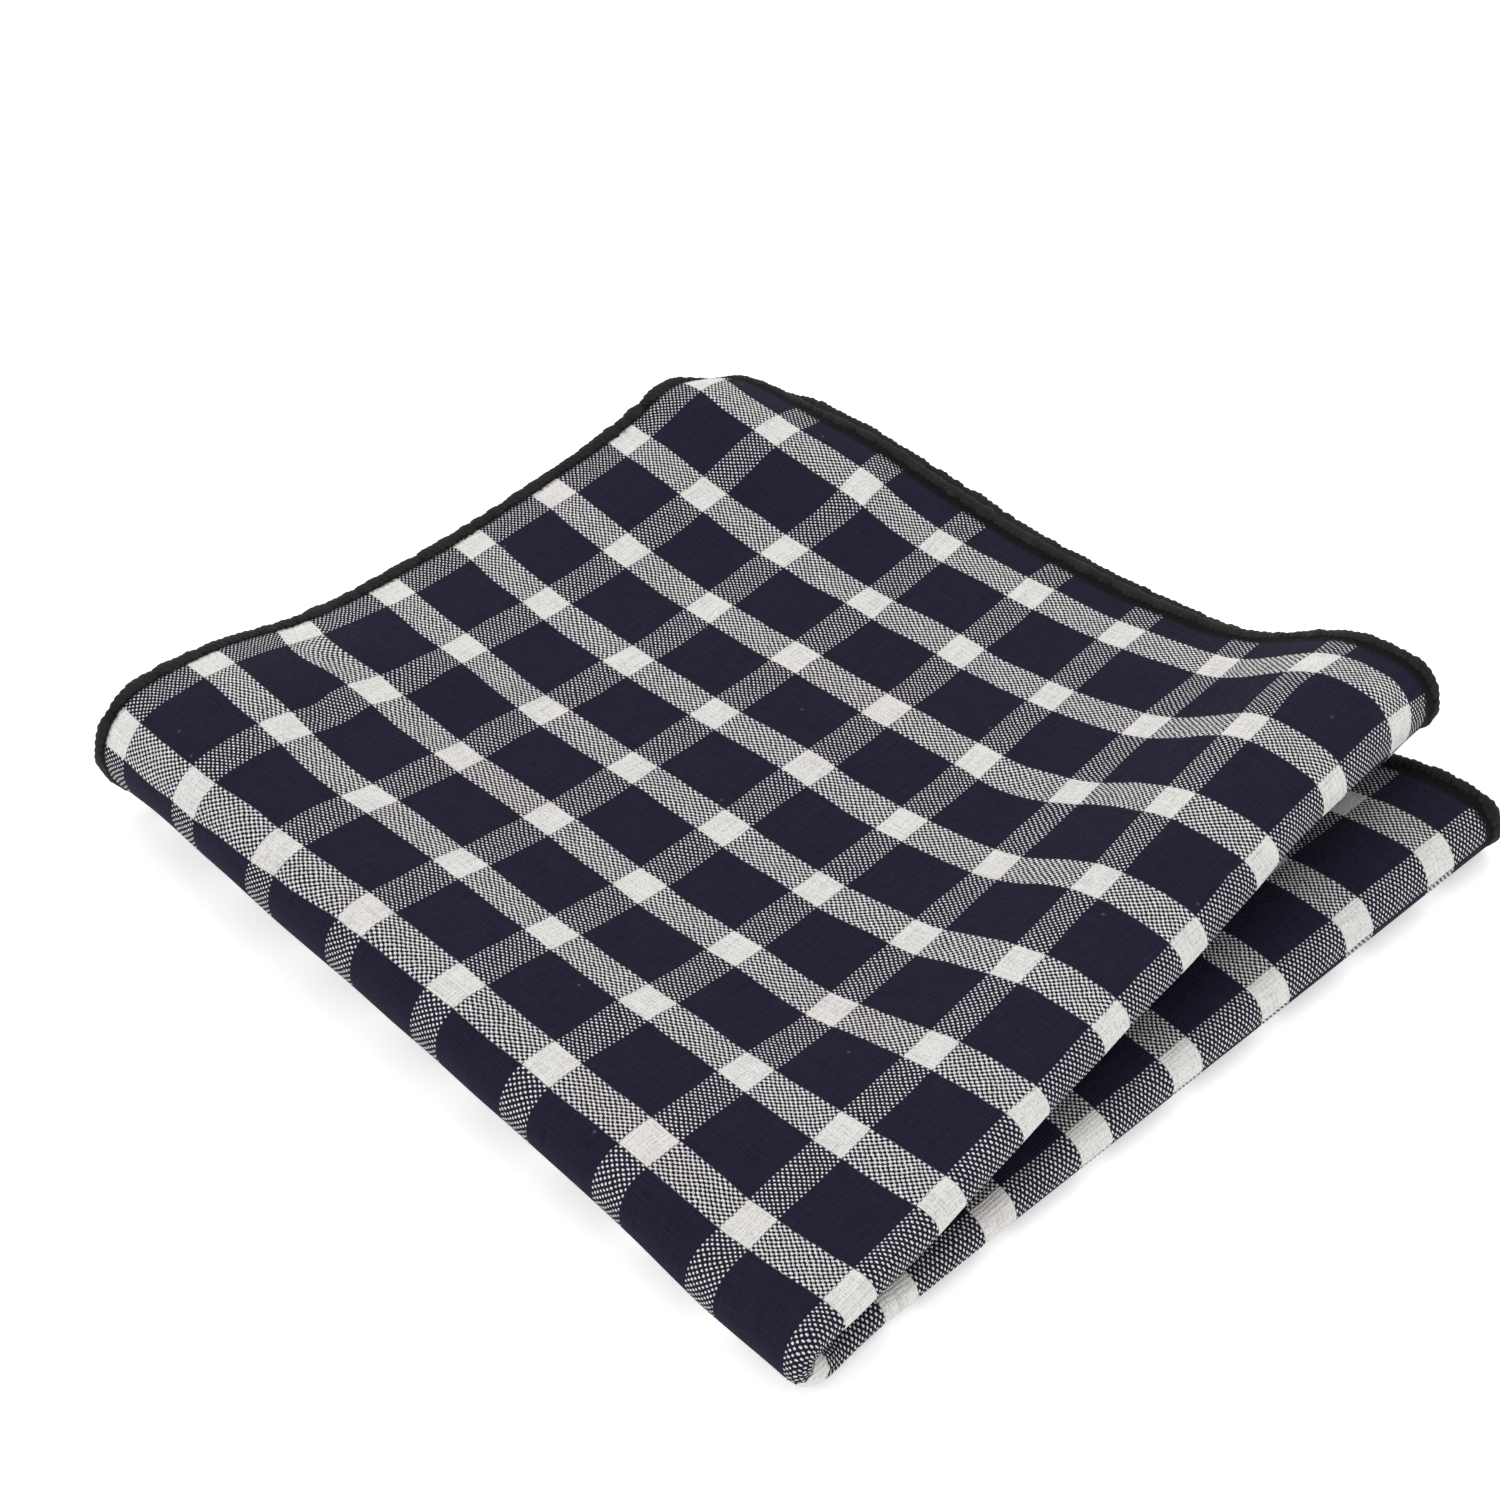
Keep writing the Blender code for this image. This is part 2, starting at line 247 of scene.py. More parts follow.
# Noise that makes the weave uneven: its scale and detail, the amount that it moves a value by, and
# its roughness. Stripes wander and fray, and threads sway, by shares of a check. Slubs and grain
# change how much of a crossing a thread covers, and the dark edge frays by millimetres. The
# filaments and blotches of the overlock's thread have shares of its shade.
Noise = namedtuple("Noise", "scale detail amount roughness", defaults=(1.0, 0.5))
WANDER_DOWN = Noise(26.0, 3.0, 0.06)
WANDER_ACROSS = Noise(31.0, 3.0, 0.06)
FRAY = Noise(520.0, 1.0, 0.016)
SWAY = Noise(190.0, 2.0, 0.016)
SLUB = Noise(62.0, 3.0, 0.7)
GRAIN = Noise(700.0, 2.0, 1.0)
HEM_FRAY = Noise(420.0, 2.0, 1.1)
WARMTH = Noise(9.0, 4.0)
FILAMENTS = Noise(2600.0, 3.0, 0.6, 0.6)
BLOTCHES = Noise(420.0, 3.0, 0.4)

# Noise along a thread is drawn out by this share. The threads across take theirs from layers of
# their own, so that it differs from that of the threads down.
SLUB_STRETCH = 0.05
SLUB_LAYER = 5.0
WANDER_LAYER = 3.0

# Colours are linear values.
NAVY_DARK = (0.0100, 0.0080, 0.0215, 1.0)
NAVY_LIGHT = (0.0195, 0.0160, 0.0390, 1.0)
WHITE = (0.83, 0.83, 0.79, 1.0)
WHITE_WARM = (0.85, 0.79, 0.77, 1.0)
WHITE_SHADE = (0.54, 0.54, 0.54, 1.0)
THREAD_BLACK = (0.0040, 0.0046, 0.0044, 1.0)
THREAD_GREY = (0.0120, 0.0132, 0.0126, 1.0)
LINT = (0.42, 0.42, 0.47, 1.0)
TABLE_COLOUR = (0.93, 0.93, 0.93, 1.0)
PURE_WHITE = (1.0, 1.0, 1.0, 1.0)

# Between which values of its noise a pair of colours changes over, with the grain's share in the
# brightness of the white threads.
WARM_RANGE = (0.42, 0.75)
BRIGHT_RANGE = (0.26, 0.60)
NAVY_RANGE = (0.30, 0.72)
THREAD_RANGE = (0.38, 0.68)
GRAIN_SHADES = 0.5

# Lint: how many cells of its uneven grid lie along a check, how far a speck reaches in a cell, which
# cells have one, and how strongly it shows.
LINT_CELLS = 3.7
LINT_SIZE = (0.020, 0.075)
LINT_CHOSEN = (0.80, 0.84)
LINT_SHOWS = 0.16

# How rough and how shiny a surface is, and the height of its bump in millimetres, with the slubs'
# share in the height of the cotton's.
Surface = namedtuple("Surface", "roughness specular bump")
COTTON = Surface(0.92, 0.12, 0.11)
THREAD = Surface(0.70, 0.20, 0.18)
TABLE = Surface(0.85, 0.10, 0.0)
SLUB_HEIGHT = 0.35

# The table top: its own glow, painted light that brightens the shadows on it, half its width and how far
# it lies below the cloth, in millimetres.
TABLE_GLOW = 0.40
TABLE_HALF = 3000.0
TABLE_BELOW = 0.1

# The room's light, and square lights that face the cloth: their place and size in metres, and their
# power in watts.
ROOM_LIGHT = 0.92
Light = namedtuple("Light", "name x y z size power")
LIGHTS = (
    Light("above", -0.35, 0.45, 1.10, 1.2, 4.0),
    Light("left", -0.90, -0.30, 0.75, 0.9, 1.2),
)

# The colours and the result of a mix node, by place, as their names aren't unique.
MIX_FIRST = 6
MIX_SECOND = 7
MIX_RESULT = 2

# The photograph's camera: its sensor and focal length in millimetres, where its view starts in
# metres, its angles, its distance in millimetres, and the point that it looks at, in checks from the
# first crossing and millimetres above the table.
SENSOR = 36.0
LENS = 75.384
CLIP_START = 0.01
AZIMUTH = math.radians(42.3)
ELEVATION = math.radians(43.3)
DISTANCE = 375.8
LOOK_ACROSS = 3.46
LOOK_UP = 3.93
LOOK_HEIGHT = 4.5


def ease(way):
    """0 to 1 with a level start and end."""
    way = np.clip(way, 0.0, 1.0)
    return way * way * (3.0 - 2.0 * way)


def smooth_curve(at, stations, values, level_start=False):
    """A smooth curve through values at stations. Values may hold one column for each point."""
    stations = np.asarray(stations, float)
    values = np.asarray(values, float)
    if values.ndim == 1:
        values = np.repeat(values[:, None], len(at), axis=1)
    slopes = np.gradient(values, stations, axis=0)
    if level_start:
        slopes[0] = 0.0
    at = np.clip(at, stations[0], stations[-1])
    start = np.clip(np.searchsorted(stations, at, side="right") - 1, 0, len(stations) - 2)
    width = stations[start + 1] - stations[start]
    way = (at - stations[start]) / width
    point = np.arange(len(at))
    low, high = values[start, point], values[start + 1, point]
    low_slope, high_slope = slopes[start, point] * width, slopes[start + 1, point] * width
    return (
        low * (1 + 2 * way) * (1 - way) ** 2
        + low_slope * way * (1 - way) ** 2
        + high * way**2 * (3 - 2 * way)
        - high_slope * way**2 * (1 - way)
    )


def section_column(name):
    return [getattr(section, name) for section in SECTIONS]


def spine_column(name):
    return [CHECK * getattr(row, name) for row in SPINE]


def spine_place(across):
    """How far down the flat cloth from the back hem the spine lies."""
    return smooth_curve(across, spine_column("across"), spine_column("place"))


def slide(v):
    """How far the sheet has slid towards +X, v from the back hem."""
    past_spine = v - SIDE / 2
    to_hem = np.clip(past_spine / (SIDE / 2), 0, 1)
    return SLIDE * ease((past_spine + SLIDE_STARTS) / SLIDE_WAY) + (SLIDE_AT_HEM - SLIDE) * to_hem


def creases(across, along):
    """The height of the small creases and waves at a place of the top."""
    down = (1 - along) * BACK_HEM_Y
    height = np.zeros_like(across)
    for crease in CREASES:
        turn = math.radians(crease.direction)
        x = across - CHECK * crease.across
        y = CHECK * crease.down - down
        lengthwise = (x * math.cos(turn) + y * math.sin(turn)) / (CHECK * crease.length)
        sideways = (y * math.cos(turn) - x * math.sin(turn)) / (CHECK * crease.width)
        height += crease.height * np.exp(-2 * lengthwise**2 - 2 * sideways**2)
    for wave in WAVES:
        phase = across / wave.length_x + down / wave.length_y
        height += wave.height * np.sin(2 * math.pi * phase + wave.start)
    return height


def top_height(across, along):
    """Height of the top layer's middle."""
    stations = CHECK * np.array(list(STATIONS.values()))
    heights = [[getattr(section, name) for name in STATIONS] for section in SECTIONS]
    rows = [smooth_curve(across, stations, row) for row in heights]
    from_back = (1 - along) * BACK_HEM_Y
    droop = ease(1 - across / CORNER_DROOP_ACROSS) * ease(1 - from_back / CORNER_DROOP_DOWN)
    height = smooth_curve(along, section_column("along"), rows, level_start=True) - SHEET / 2
    return height - CORNER_DROOP * droop + creases(across, along)


def floor_height(across):
    """Height of the bottom layer's middle, which lifts beside the first fold."""
    return SHEET / 2 + LOWER_LIFT * ease((across - FIRST_FOLD + LOWER_LIFT_WIDTH) / LOWER_LIFT_WIDTH)


def spine_sizes(across):
    """The spine's crest and floor, its radius, and the gentler radius of its underside."""
    crest = top_height(across, np.zeros_like(across))
    floor = floor_height(across)
    radius = smooth_curve(across, spine_column("across"), [row.radius for row in SPINE])
    radius = np.minimum(radius, (crest - floor) / 2)
    turn = math.sin(UNDERSIDE_ANGLE)
    under_radius = (crest - radius - radius * turn - floor) / (1 - turn)
    return crest, floor, radius, under_radius


def outer_surface(across, out):
    """The middle of the outer layer. Out is the way along the cloth from the spine, minus below it."""
    crest, _, radius, under_radius = spine_sizes(across)
    quarter = math.pi / 2
    spine_y = BACK_HEM_Y - spine_place(across) + radius * (quarter - 1)

    turn = np.minimum(np.abs(out) / radius, quarter)
    past_crest = np.maximum(out - quarter * radius, 0)
    along = past_crest / (spine_place(across) - quarter * radius)
    top_y = spine_y + radius * (1 - np.cos(turn)) + past_crest
    top_z = np.where(past_crest > 0, top_height(across, along), crest - radius * (1 - np.sin(turn)))

    tight = UNDERSIDE_ANGLE
    gentle = np.clip((-out - tight * radius) / under_radius, 0, quarter - tight)
    lying = np.maximum(-out - tight * radius - (quarter - tight) * under_radius, 0)
    turn = np.minimum(turn, tight)
    beside_fold = ease((across - FIRST_FOLD + LOWER_SLACK_WIDTH) / LOWER_SLACK_WIDTH)
    stretch = LOWER_SLACK + (LOWER_STRETCH - LOWER_SLACK) * beside_fold
    under_y = spine_y + radius * (1 - np.cos(turn)) + stretch * lying
    under_y += under_radius * (math.cos(tight) - np.cos(tight + gentle))
    under_z = crest - radius * (1 + np.sin(turn))
    under_z -= under_radius * (np.sin(tight + gentle) - math.sin(tight))

    drawn_in = smooth_curve(along, section_column("along"), section_column("drawn_in"))
    drawn_in = drawn_in * ease((across - FIRST_FOLD + DRAWN_IN_WIDTH) / DRAWN_IN_WIDTH)
    below = out < 0
    tucked_in = LOWER_TUCK - (LOWER_TUCK + LOWER_DRAWN_IN) * across / FIRST_FOLD
    tucked_in = tucked_in * ease(-out / LOWER_TUCK_WAY)
    x = LEFT_HEM_X + across + np.where(below, LOWER_SPLAY * (under_y - spine_y) + tucked_in, -drawn_in)
    return np.stack([x, np.where(below, under_y, top_y), np.where(below, under_z, top_z)], axis=-1)


def first_fold(u, out):
    """How far across the folded square a point lies, and how deep inside the outer layer."""
    along = out / BACK_HEM_Y
    roll = smooth_curve(along, section_column("along"), section_column("roll"))
    roll += (LOWER_ROLL - SECTIONS[0].roll) * np.maximum(-out, 0) / (SIDE / 2)
    start = FIRST_FOLD - math.pi / 2 * roll
    turn = np.clip((u - start) / roll, 0, math.pi)
    back = np.maximum(u - start - math.pi * roll, 0)
    across = np.minimum(u, start) + roll * np.sin(turn) - back
    closed = ease(back / ROLL_CLOSES)
    return across, roll * (1 - np.cos(turn)) * (1 - closed) + LAYER * closed


def outer_way(across, out, depth, past_fold):
    """The outer layer's way from the spine, beside which a deeper layer's way from it ends.

    Above the spine the deeper layer turns on a smaller radius, so that it reaches further, the more
    so the further it is past the first fold.
    """
    radius = spine_sizes(across)[2]
    quarter = math.pi / 2
    in_turn = np.clip(out, 0, quarter * (radius - depth)) * radius / (radius - depth)
    further = in_turn + np.maximum(out - quarter * (radius - depth), 0) - out
    further = further * ease(past_fold / REACH_GROWS)
    to_corner = ease((past_fold - FIRST_FOLD + CORNER_PEEPS_WIDTH) / CORNER_PEEPS_WIDTH)
    further += CORNER_PEEPS * to_corner * out / BACK_HEM_Y
    return out + np.where(out < 0, 0, further)


def round_corners(u, v):
    """Draws the square's four corners in to quarter circles."""
    from_side = np.minimum(u, SIDE - u)
    from_end = np.minimum(v, SIDE - v)
    p = np.clip(1 - from_side / CORNER_RADIUS, 0, 1)
    q = np.clip(1 - from_end / CORNER_RADIUS, 0, 1)
    inward_u = CORNER_RADIUS * p * (1 - np.sqrt(1 - q * q / 2))
    inward_v = CORNER_RADIUS * q * (1 - np.sqrt(1 - p * p / 2))
    moved_u = np.where(u < SIDE / 2, inward_u, -inward_u)
    moved_v = np.where(v < SIDE / 2, inward_v, -inward_v)
    return u + moved_u, v + moved_v


def fold_cloth(u, v):
    """Carries points of the flat cloth, u from the left hem and v from the back hem, to their places."""
    u, v = round_corners(u, v)
    u = u + slide(v)
    out = spine_place(np.minimum(u, 2 * FIRST_FOLD - u)) - v
    across, depth = first_fold(u, out)
    out = spine_place(across) - v
    depth_at_spine = first_fold(u, np.zeros_like(u))[1]
    out = outer_way(across, out, depth_at_spine, u - FIRST_FOLD)
    place = outer_surface(across, out)
    along_x = outer_surface(across + NORMAL_STEP, out) - outer_surface(across - NORMAL_STEP, out)
    along_out = outer_surface(across, out + NORMAL_STEP) - outer_surface(across, out - NORMAL_STEP)
    outward = np.cross(along_x, along_out)
    outward /= np.linalg.norm(outward, axis=-1, keepdims=True)
    place = place - depth[:, None] * outward
    return place - np.array([CENTRE_X, CENTRE_Y, 0.0])


def lines(fold, reach_before, reach_after):
    """Where the mesh's lines cross the sheet, closer together beside a fold."""
    before = np.linspace(0, fold - reach_before, round((fold - reach_before) / LINE), endpoint=False)
    steps = round((reach_before + reach_after) / FOLD_LINE)
    beside = np.linspace(fold - reach_before, fold + reach_after, steps, endpoint=False)
    steps = round((SIDE - fold - reach_after) / LINE) + 1
    after = np.linspace(fold + reach_after, SIDE, steps)
    return np.concatenate([before, beside, after])


def add_object(name, data):
    obj = bpy.data.objects.new(name, data)
    bpy.context.scene.collection.objects.link(obj)
    return obj


def mesh_object(name, points, faces, material):
    """A smooth mesh of points in millimetres."""
    mesh = bpy.data.meshes.new(name)
    mesh.from_pydata([tuple(point) for point in MM * points], [], faces)
    mesh.shade_smooth()
    mesh.materials.append(material)
    return add_object(name, mesh)


def grid_faces(rows, columns, closed=False):
    """Faces of a grid of points, row after row. A closed grid's columns go round."""
    last = columns if closed else columns - 1
    return [
        (
            row * columns + column,
            (row + 1) * columns + column,
            (row + 1) * columns + (column + 1) % columns,
            row * columns + (column + 1) % columns,
        )
        for row in range(rows - 1)
        for column in range(last)
    ]


def make_cloth(material):
    """The folded sheet. Its UV maps are the flat cloth, so that the weave follows the folds.

    The map called weave has the pattern's drift in it, and the other map doesn't.
    """
    spine = float(spine_place(np.array([FIRST_FOLD / 2]))[0])
    across = lines(FIRST_FOLD - SLIDE_AT_HEM / 2, FOLD_REACH, FOLD_REACH)
    along = lines(spine, SPINE_REACH_TOP, SPINE_REACH_UNDER)
    v, u = (grid.ravel() for grid in np.meshgrid(along, across, indexing="ij"))
    faces = grid_faces(len(along), len(across))
    cloth = mesh_object("cloth_sheet", fold_cloth(u, v), faces, material)
    flat = np.stack(round_corners(u, v), axis=-1)
    pulled = np.stack(weave_drift(*flat.T), axis=-1)
    corner = np.empty(len(cloth.data.loops), dtype=np.int32)
    cloth.data.loops.foreach_get("vertex_index", corner)
    for name, place in (("OFBake", flat), ("weave", flat - pulled)):
        layer = cloth.data.uv_layers.new(name=name)
        layer.data.foreach_set("uv", place[corner].ravel() / SIDE)
    sheet = cloth.modifiers.new("sheet", "SOLIDIFY")
    sheet.thickness = MM * SHEET
    sheet.offset = 0.0
    return cloth


def weave_drift(u, v):
    """How far the pattern is pulled along u and v at a place of the flat cloth."""
    pull_u = np.zeros_like(u)
    pull_v = -ROWS_RISE * ease(1 - u / ROWS_RISE_WIDTH)
    for drift in DRIFTS:
        away = (u - CHECK * drift.across) ** 2 + (v - CHECK * drift.down) ** 2
        near = np.exp(-away / (CHECK * drift.size) ** 2)
        pull_u += drift.pull_x * near
        pull_v += drift.pull_down * near
    return pull_u, pull_v


def hem_path(inset, count):
    """Points of the flat cloth that lie inset from its edge, all round it."""
    way = np.arange(count) / count * 4
    side, t = way.astype(int) % 4, way % 1
    low, high = inset, SIDE - inset
    run = low + (high - low) * t
    u = np.choose(side, [run, np.full(count, high), high + low - run, np.full(count, low)])
    v = np.choose(side, [np.full(count, low), run, np.full(count, high), high + low - run])
    return u, v


def make_overlock(material):
    """The thread that binds the edge, in loops side by side that go round the hem."""
    loops = round(4 * SIDE / LOOP_PITCH)
    count = loops * STATIONS_A_LOOP
    edge = fold_cloth(*hem_path(0.0, count))
    inner = fold_cloth(*hem_path(OVERLOCK_PROFILE[-1][0], count))
    reach = DIRECTION_STATIONS
    along = np.roll(edge, -reach, axis=0) - np.roll(edge, reach, axis=0)
    along /= np.linalg.norm(along, axis=1, keepdims=True)
    inward = inner - edge
    inward -= (inward * along).sum(axis=1, keepdims=True) * along
    inward /= np.linalg.norm(inward, axis=1, keepdims=True)
    up = np.cross(along, inward)

    profile = np.array(OVERLOCK_PROFILE)
    profile = np.concatenate([profile, profile[:0:-1] * (1, -1)])
    side, rise = profile[:, 0], profile[:, 1]
    half = len(OVERLOCK_PROFILE)
    upper = np.where(np.arange(len(profile)) < half, 1.0, -1.0)

    step = np.arange(count) / STATIONS_A_LOOP
    uneven = np.random.default_rng(LOOP_SEED).normal(0, UNEVEN_LOOPS, loops)
    uneven = np.interp(step, np.arange(loops), uneven, period=loops)[:, None]
    phase = step[:, None] + LOOP_SLANT * upper * (side - side[0])
    loop = 1 - np.abs(np.sin(math.pi * phase))
    middle = side[half // 2]
    side = side + (side - middle) / middle * (uneven - LOOP_DEPTH * loop)
    rise = rise * (1 + uneven) - np.sign(rise) * LOOP_DEPTH / 2 * loop
    points = edge[:, None] + side[..., None] * inward[:, None] + rise[..., None] * up[:, None]
    points[..., 2] = np.maximum(points[..., 2], 0.0)
    points = np.concatenate([points, points[:1]]).reshape(-1, 3)
    faces = grid_faces(count + 1, len(profile), closed=True)
    return mesh_object("overlock", points, faces, material)


class Nodes:
    """Adds shader nodes to a new material, with short calls for the ones used here."""

    def __init__(self, name):
        self.material = bpy.data.materials.new(name)
        self.material.use_nodes = True
        self.tree = self.material.node_tree
        self.shader = self.tree.nodes["Principled BSDF"]

    def new(self, kind):
        return self.tree.nodes.new("ShaderNode" + kind)

    def link(self, value, socket):
        """Links a socket to another, or sets a constant on it."""
        if isinstance(value, bpy.types.NodeSocket):
            self.tree.links.new(value, socket)
        else:
            socket.default_value = value

    def math(self, operation, *values):
        node = self.new("Math")
        node.operation = operation
        for value, socket in zip(values, node.inputs):
            self.link(value, socket)
        return node.outputs[0]

    def step_between(self, value, low, high):
        """0 below low, 1 above high, and smooth between them."""
        node = self.new("MapRange")
        node.interpolation_type = "SMOOTHSTEP"
        self.link(value, node.inputs["Value"])
        self.link(low, node.inputs["From Min"])
        self.link(high, node.inputs["From Max"])
        return node.outputs["Result"]

    def mix(self, way, first, second):
        """The first colour where way is 0, the second where it is 1."""
        node = self.new("Mix")
        node.data_type = "RGBA"
        self.link(way, node.inputs["Factor"])
        self.link(first, node.inputs[MIX_FIRST])
        self.link(second, node.inputs[MIX_SECOND])
        return node.outputs[MIX_RESULT]

    def vector(self, x, y, z=0.0):
        node = self.new("CombineXYZ")
        for value, socket in zip((x, y, z), node.inputs):
            self.link(value, socket)
        return node.outputs[0]

    def split(self, vector):
        """A vector's x and y."""
        node = self.new("SeparateXYZ")
        self.link(vector, node.inputs[0])
        return node.outputs[0], node.outputs[1]

    def uv(self, name):
        node = self.new("UVMap")
        node.uv_map = name
        return node.outputs[0]

    def noise(self, place, noise):
        """Noise from 0 to 1."""
        node = self.new("TexNoise")
        self.link(place, node.inputs["Vector"])
        self.link(noise.scale, node.inputs["Scale"])
        self.link(noise.detail, node.inputs["Detail"])
        self.link(noise.roughness, node.inputs["Roughness"])
        return node.outputs["Fac"]

    def spread(self, value, amount):
        """A value from 0 to 1, spread over an amount about 0."""
        return self.math("MULTIPLY_ADD", value, amount, -amount / 2)

    def uneven(self, place, noise):
        """Noise about 0, by its own amount."""
        return self.spread(self.noise(place, noise), noise.amount)

    def finish(self, colour, surface, height=None):
        """Sets the shader's colour and surface, with a bump where a height is given."""
        self.link(colour, self.shader.inputs["Base Color"])
        self.link(surface.roughness, self.shader.inputs["Roughness"])
        self.link(surface.specular, self.shader.inputs["Specular IOR Level"])
        if height is not None:
            bump = self.new("Bump")
            self.link(MM * surface.bump, bump.inputs["Distance"])
            self.link(height, bump.inputs["Height"])
            self.link(bump.outputs[0], self.shader.inputs["Normal"])


def stripe(nodes, place, width, fray):
    """1 in the stripe about each whole number of checks, 0 between two stripes."""
    from_middle = nodes.math("ADD", nodes.math("PINGPONG", place, 0.5), fray)
    outside = nodes.step_between(from_middle, width / 2 - STRIPE_EDGE, width / 2 + STRIPE_EDGE)
    return nodes.math("SUBTRACT", 1.0, outside)


def thread_wave(nodes, place, sway, threads):
    """A wave that is 1 or -1 along the middle of each thread and 0 between two threads."""
    phase = nodes.math("MULTIPLY", nodes.math("ADD", place, sway), math.pi * threads)
    return nodes.math("COSINE", phase)


def thread_shows(nodes, over, slub, grain, covers):
    """1 where a set of threads lies over the other, which its slubs and grain make uneven."""
    uneven = nodes.math("ADD", nodes.spread(slub, SLUB.amount), grain)
    way = nodes.math("SUBTRACT", over, nodes.math("ADD", uneven, covers))
    return nodes.step_between(way, -THREAD_EDGE, THREAD_EDGE)


def from_edge(nodes):
    """How far in from the cloth's rounded edge a place is, in millimetres, up to CORNER_RADIUS."""
    u, v = nodes.split(nodes.uv("OFBake"))
    ways = []
    for place, further in ((u, 0.0), (v, STRIPES_END_FURTHER)):
        way = nodes.math("MINIMUM", place, nodes.math("SUBTRACT", 1.0, place))
        way = nodes.math("MULTIPLY_ADD", way, -SIDE, CORNER_RADIUS + further)
        ways.append(nodes.math("MAXIMUM", way, 0.0))
    squares = [nodes.math("MULTIPLY", way, way) for way in ways]
    return nodes.math("SUBTRACT", CORNER_RADIUS, nodes.math("SQRT", nodes.math("ADD", *squares)))


def lint(nodes, u, v):
    """How strongly lint shows: a speck in the middle of a few cells of an uneven grid."""
    cells = nodes.new("TexVoronoi")
    nodes.link(nodes.vector(u, v), cells.inputs["Vector"])
    nodes.link(LINT_CELLS, cells.inputs["Scale"])
    around = nodes.step_between(cells.outputs["Distance"], *LINT_SIZE)
    chosen = nodes.step_between(nodes.split(cells.outputs["Color"])[0], *LINT_CHOSEN)
    speck = nodes.math("MULTIPLY", nodes.math("SUBTRACT", 1.0, around), chosen)
    return nodes.math("MULTIPLY", speck, LINT_SHOWS)


def make_cotton():
    """Plain weave in a window check, from the sheet's own flat coordinates."""
    nodes = Nodes("cotton")
    place = nodes.uv("weave")
    weave_u, weave_v = nodes.split(place)
    other_place = nodes.vector(weave_v, weave_u, WANDER_LAYER)
    u = nodes.math("MULTIPLY_ADD", weave_u, SIDE / CHECK, LEFT_HEM_X / CHECK)
    v = nodes.math("MULTIPLY_ADD", weave_v, -SIDE / CHECK, BACK_HEM_Y / CHECK)
    u = nodes.math("ADD", u, nodes.uneven(place, WANDER_DOWN))
    v = nodes.math("ADD", v, nodes.uneven(other_place, WANDER_ACROSS))

    fray = nodes.uneven(place, FRAY)
    down_white = stripe(nodes, u, STRIPE_DOWN, fray)
    across_white = stripe(nodes, v, STRIPE_ACROSS, fray)

    sway = nodes.uneven(place, SWAY)
    wave_u = thread_wave(nodes, u, sway, THREADS_DOWN)
    wave_v = thread_wave(nodes, v, sway, THREADS_ACROSS)
    over = nodes.math("MULTIPLY", wave_u, wave_v)
    under = nodes.math("MULTIPLY", over, -1.0)

    along_down = nodes.vector(u, nodes.math("MULTIPLY", v, SLUB_STRETCH))
    along_across = nodes.vector(nodes.math("MULTIPLY", u, SLUB_STRETCH), v, SLUB_LAYER)
    slub_down = nodes.noise(along_down, SLUB)
    slub_across = nodes.noise(along_across, SLUB)
    grain = nodes.uneven(place, GRAIN)
    down_shows = thread_shows(nodes, over, slub_down, grain, DOWN_COVERS)
    across_shows = thread_shows(nodes, under, slub_across, grain, ACROSS_COVERS)

    # Painted shade: the holes between the threads of a white crossing are painted half dark.
    gap = nodes.math("MAXIMUM", nodes.math("ABSOLUTE", wave_u), nodes.math("ABSOLUTE", wave_v))
    both_white = nodes.math("MULTIPLY", down_white, across_white)
    both_white = nodes.math("MULTIPLY", both_white, nodes.step_between(gap, *BOTH_WHITE_GAP))
    down_white = nodes.math("MULTIPLY", down_white, down_shows)
    across_white = nodes.math("MULTIPLY", across_white, across_shows)
    whiteness = nodes.math("MAXIMUM", nodes.math("MAXIMUM", down_white, across_white), both_white)

    inside = nodes.math("ADD", from_edge(nodes), nodes.uneven(place, HEM_FRAY))
    clear = nodes.step_between(inside, *STRIPES_FADE)
    whiteness = nodes.math("MULTIPLY", whiteness, clear)

    slub = nodes.math("MULTIPLY", nodes.math("ADD", slub_down, slub_across), 0.5)
    warm = nodes.step_between(nodes.noise(place, WARMTH), *WARM_RANGE)
    bright = nodes.step_between(nodes.math("MULTIPLY_ADD", grain, GRAIN_SHADES, slub), *BRIGHT_RANGE)
    white = nodes.mix(bright, WHITE_SHADE, nodes.mix(warm, WHITE, WHITE_WARM))
    navy = nodes.mix(nodes.step_between(slub, *NAVY_RANGE), NAVY_DARK, NAVY_LIGHT)
    navy = nodes.mix(clear, THREAD_BLACK, navy)
    woven = nodes.mix(whiteness, navy, white)
    woven = nodes.mix(lint(nodes, u, v), woven, LINT)

    height = nodes.math("MULTIPLY_ADD", slub, SLUB_HEIGHT, nodes.math("ABSOLUTE", over))
    nodes.finish(woven, COTTON, height)
    return nodes.material


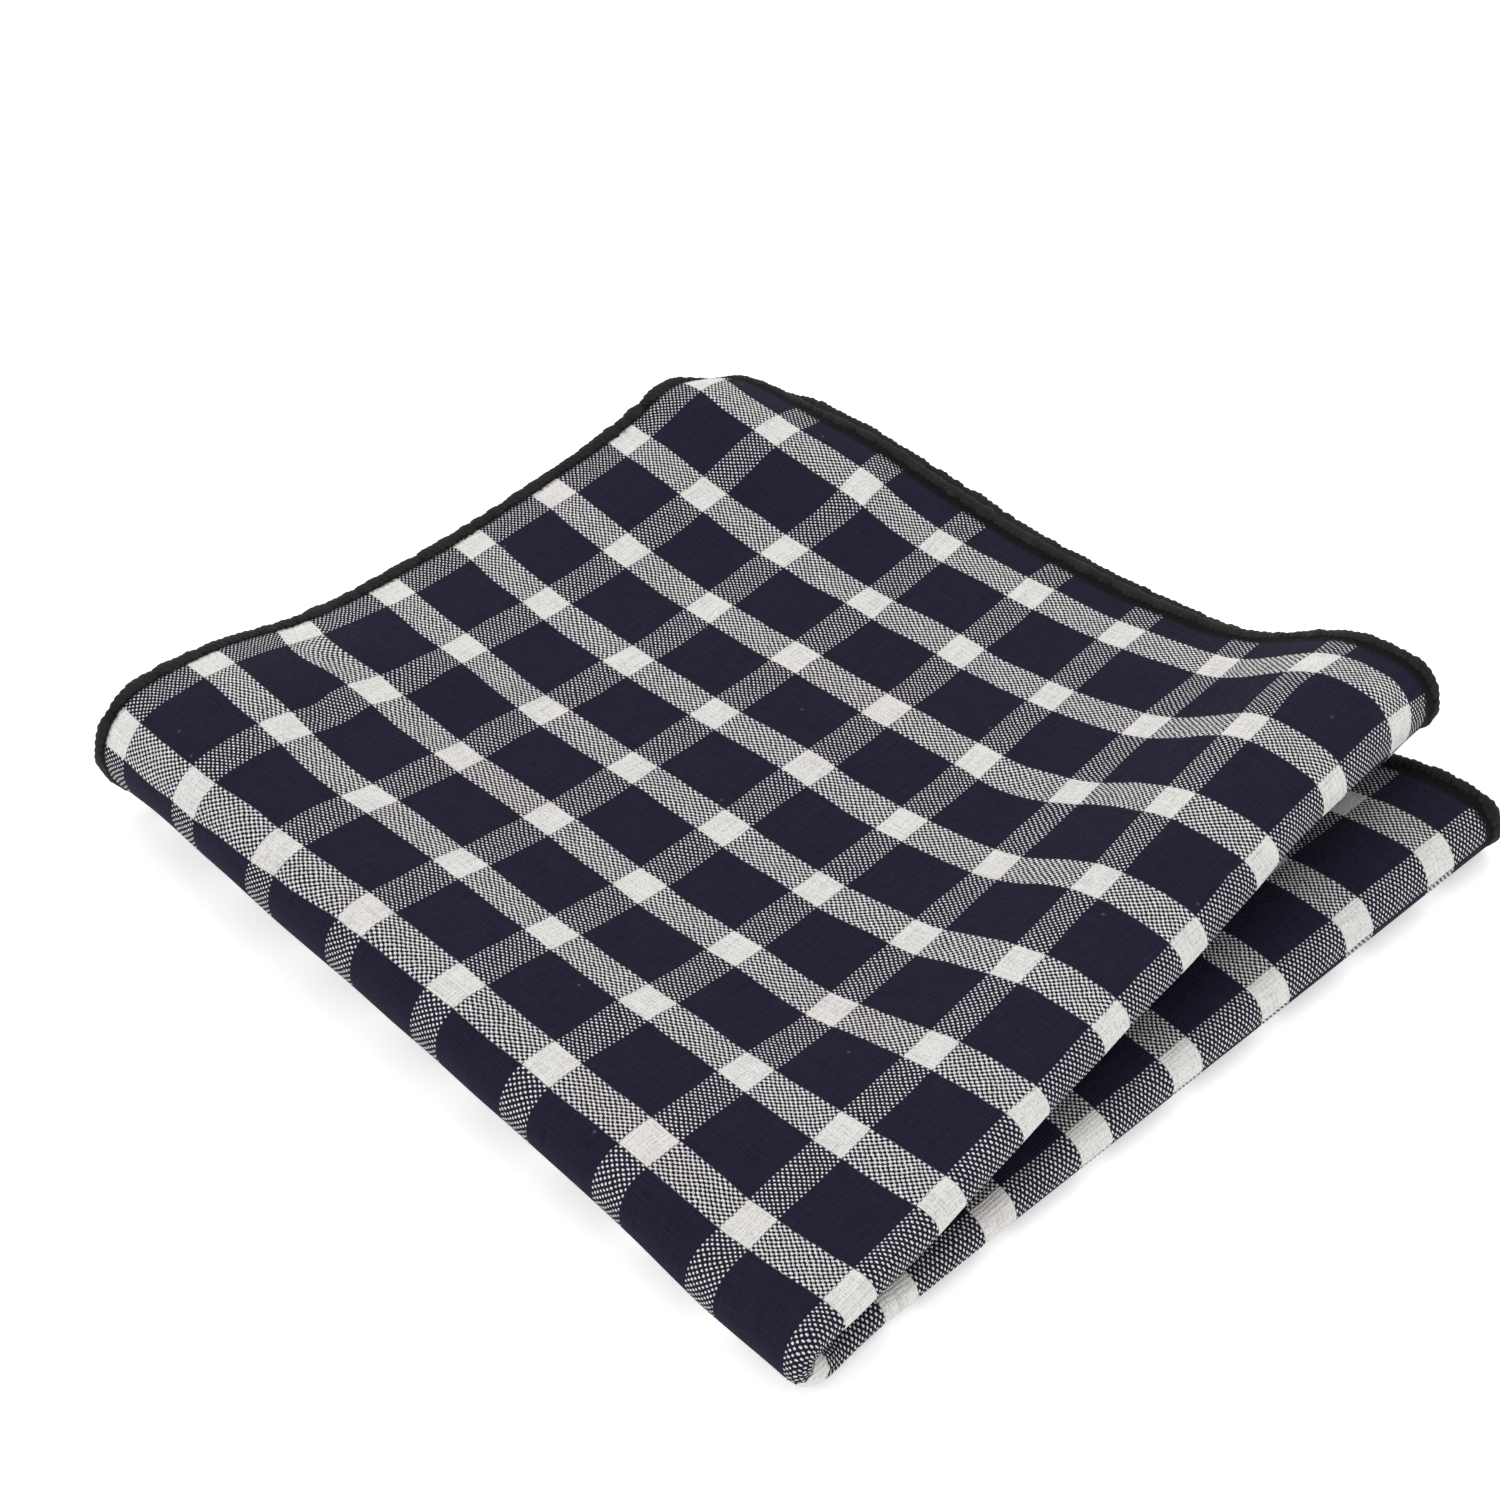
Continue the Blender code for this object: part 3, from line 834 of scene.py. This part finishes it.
def make_overlock_thread():
    """Near-black polyester thread, with its fine filaments."""
    nodes = Nodes("overlock_thread")
    place = nodes.new("TexCoord").outputs["Object"]
    fine = nodes.noise(place, FILAMENTS)
    broad = nodes.math("MULTIPLY", nodes.noise(place, BLOTCHES), BLOTCHES.amount)
    shade = nodes.math("ADD", nodes.math("MULTIPLY", fine, FILAMENTS.amount), broad)
    colour = nodes.mix(nodes.step_between(shade, *THREAD_RANGE), THREAD_BLACK, THREAD_GREY)
    nodes.finish(colour, THREAD, fine)
    return nodes.material


def make_floor():
    """A plain pale table top, which glows a little: painted light that brightens the shadows on it."""
    nodes = Nodes("pale_table")
    nodes.finish(TABLE_COLOUR, TABLE)
    # Painted light: the table glows, which brightens the shadows that fall on it.
    nodes.link(PURE_WHITE, nodes.shader.inputs["Emission Color"])
    nodes.link(TABLE_GLOW, nodes.shader.inputs["Emission Strength"])
    corners = TABLE_HALF * np.array([(-1, -1, 0), (1, -1, 0), (1, 1, 0), (-1, 1, 0)])
    floor = mesh_object("table_top", corners, [(0, 1, 2, 3)], nodes.material)
    floor.location.z = -MM * TABLE_BELOW


def make_camera():
    data = bpy.data.cameras.new("camera")
    data.lens = LENS
    data.sensor_width = SENSOR
    data.clip_start = CLIP_START
    camera = add_object("camera", data)
    look = np.array([CHECK * LOOK_ACROSS - CENTRE_X, CHECK * LOOK_UP - CENTRE_Y, LOOK_HEIGHT])
    back = np.array([
        math.sin(AZIMUTH) * math.cos(ELEVATION),
        -math.cos(AZIMUTH) * math.cos(ELEVATION),
        math.sin(ELEVATION),
    ])
    camera.location = MM * (look + DISTANCE * back)
    camera.rotation_euler = (math.pi / 2 - ELEVATION, 0, AZIMUTH)
    bpy.context.scene.camera = camera


def make_light():
    """Soft studio light: a bright pale room, a large light above and a weaker one at the left."""
    world = bpy.data.worlds.new("studio")
    world.use_nodes = True
    background = world.node_tree.nodes["Background"]
    background.inputs["Color"].default_value = PURE_WHITE
    background.inputs["Strength"].default_value = ROOM_LIGHT
    bpy.context.scene.world = world
    for row in LIGHTS:
        data = bpy.data.lights.new(row.name, "AREA")
        data.shape = "SQUARE"
        data.size = row.size
        data.energy = row.power
        light = add_object(row.name, data)
        light.location = (row.x, row.y, row.z)
        light.rotation_euler = light.location.to_track_quat("Z", "Y").to_euler()


def main():
    make_camera()
    bpy.context.scene.view_settings.view_transform = "Standard"
    cloth = make_cloth(make_cotton())
    overlock = make_overlock(make_overlock_thread())
    for piece in (cloth, overlock):
        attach(piece, "root")
    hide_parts("cloth")
    make_floor()
    make_light()


main()
